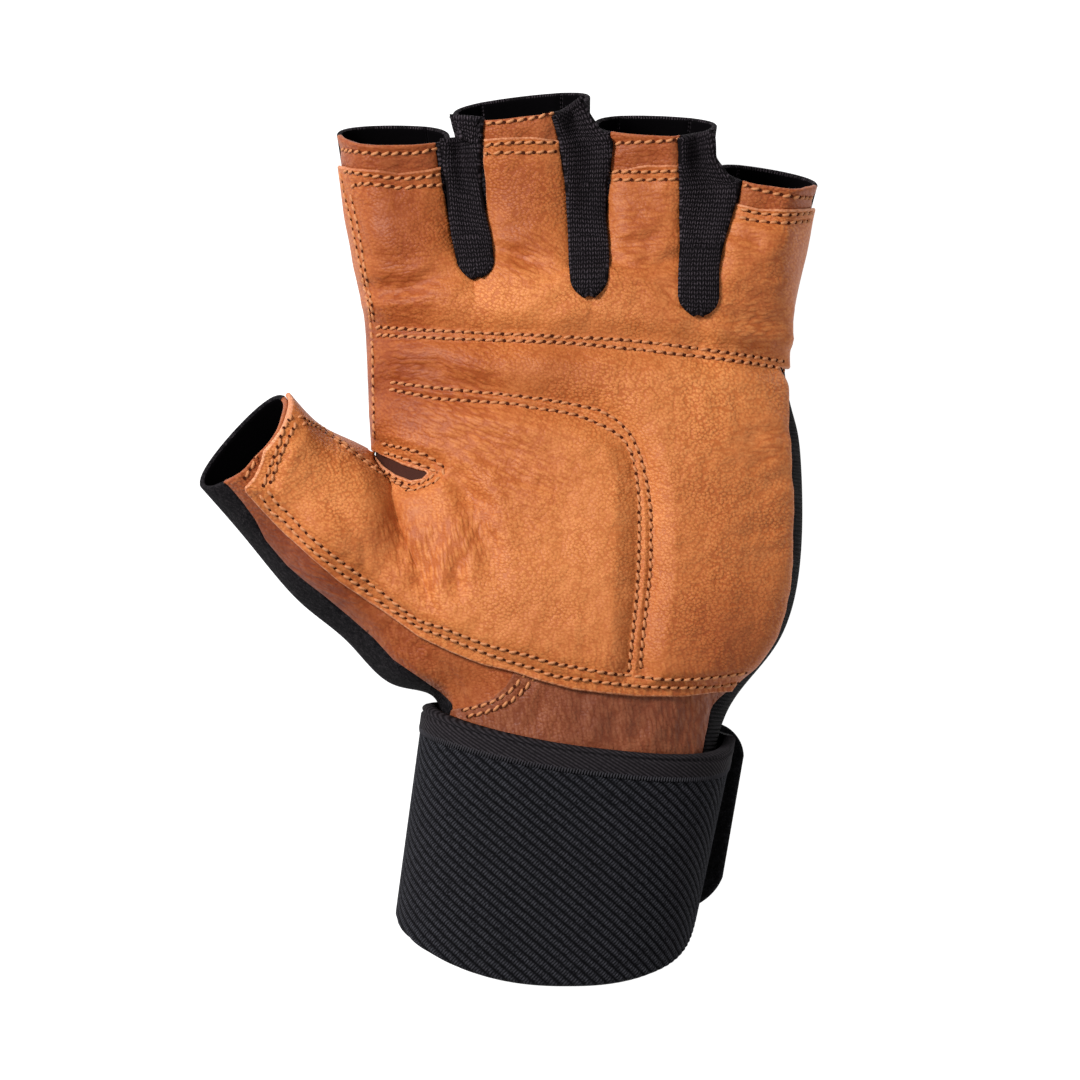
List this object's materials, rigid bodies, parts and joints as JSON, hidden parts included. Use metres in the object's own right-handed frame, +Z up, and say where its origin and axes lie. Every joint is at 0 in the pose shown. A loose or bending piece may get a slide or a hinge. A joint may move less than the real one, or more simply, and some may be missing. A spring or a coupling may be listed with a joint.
{
  "type": "weightlifting glove",
  "caption": "Fingerless padded leather weightlifting glove for the left hand, with knit back and fourchettes and a wide elastic wrist wrap.",
  "frame": {"origin": "middle of the glove's underside, at the lowest point of its bounding box, lying on its back with the palm up", "axes": "+X from the thumb side to the little finger's side, +Y from the wrist to the fingers, +Z up out of the palm"},
  "size_m": [0.147, 0.2126, 0.0517],
  "materials": {
    "tan_leather": "soft tan grain leather",
    "brown_leather": "darker brown grain leather",
    "black_knit": "matt black knit",
    "black_fleece": "matt black brushed fabric",
    "black_rib": "matt black ribbed knit",
    "black_elastic": "woven black elastic",
    "black_tape": "woven black binding tape",
    "black_hook": "stiff hook and loop tab"
  },
  "bodies": {
    "root": {"palm_leather": "tan_leather", "palm_overlay": "tan_leather", "cuff_leather": "brown_leather", "back_panel": "black_knit", "fourchette_index_middle": "black_knit", "fourchette_middle_ring": "black_knit", "fourchette_ring_little": "black_knit", "thumb_back": "black_fleece", "side_gusset": "black_rib", "wrist_wrap": "black_elastic", "wrap_binding": "black_tape", "closure_tab": "black_hook"}
  },
  "joints": []
}
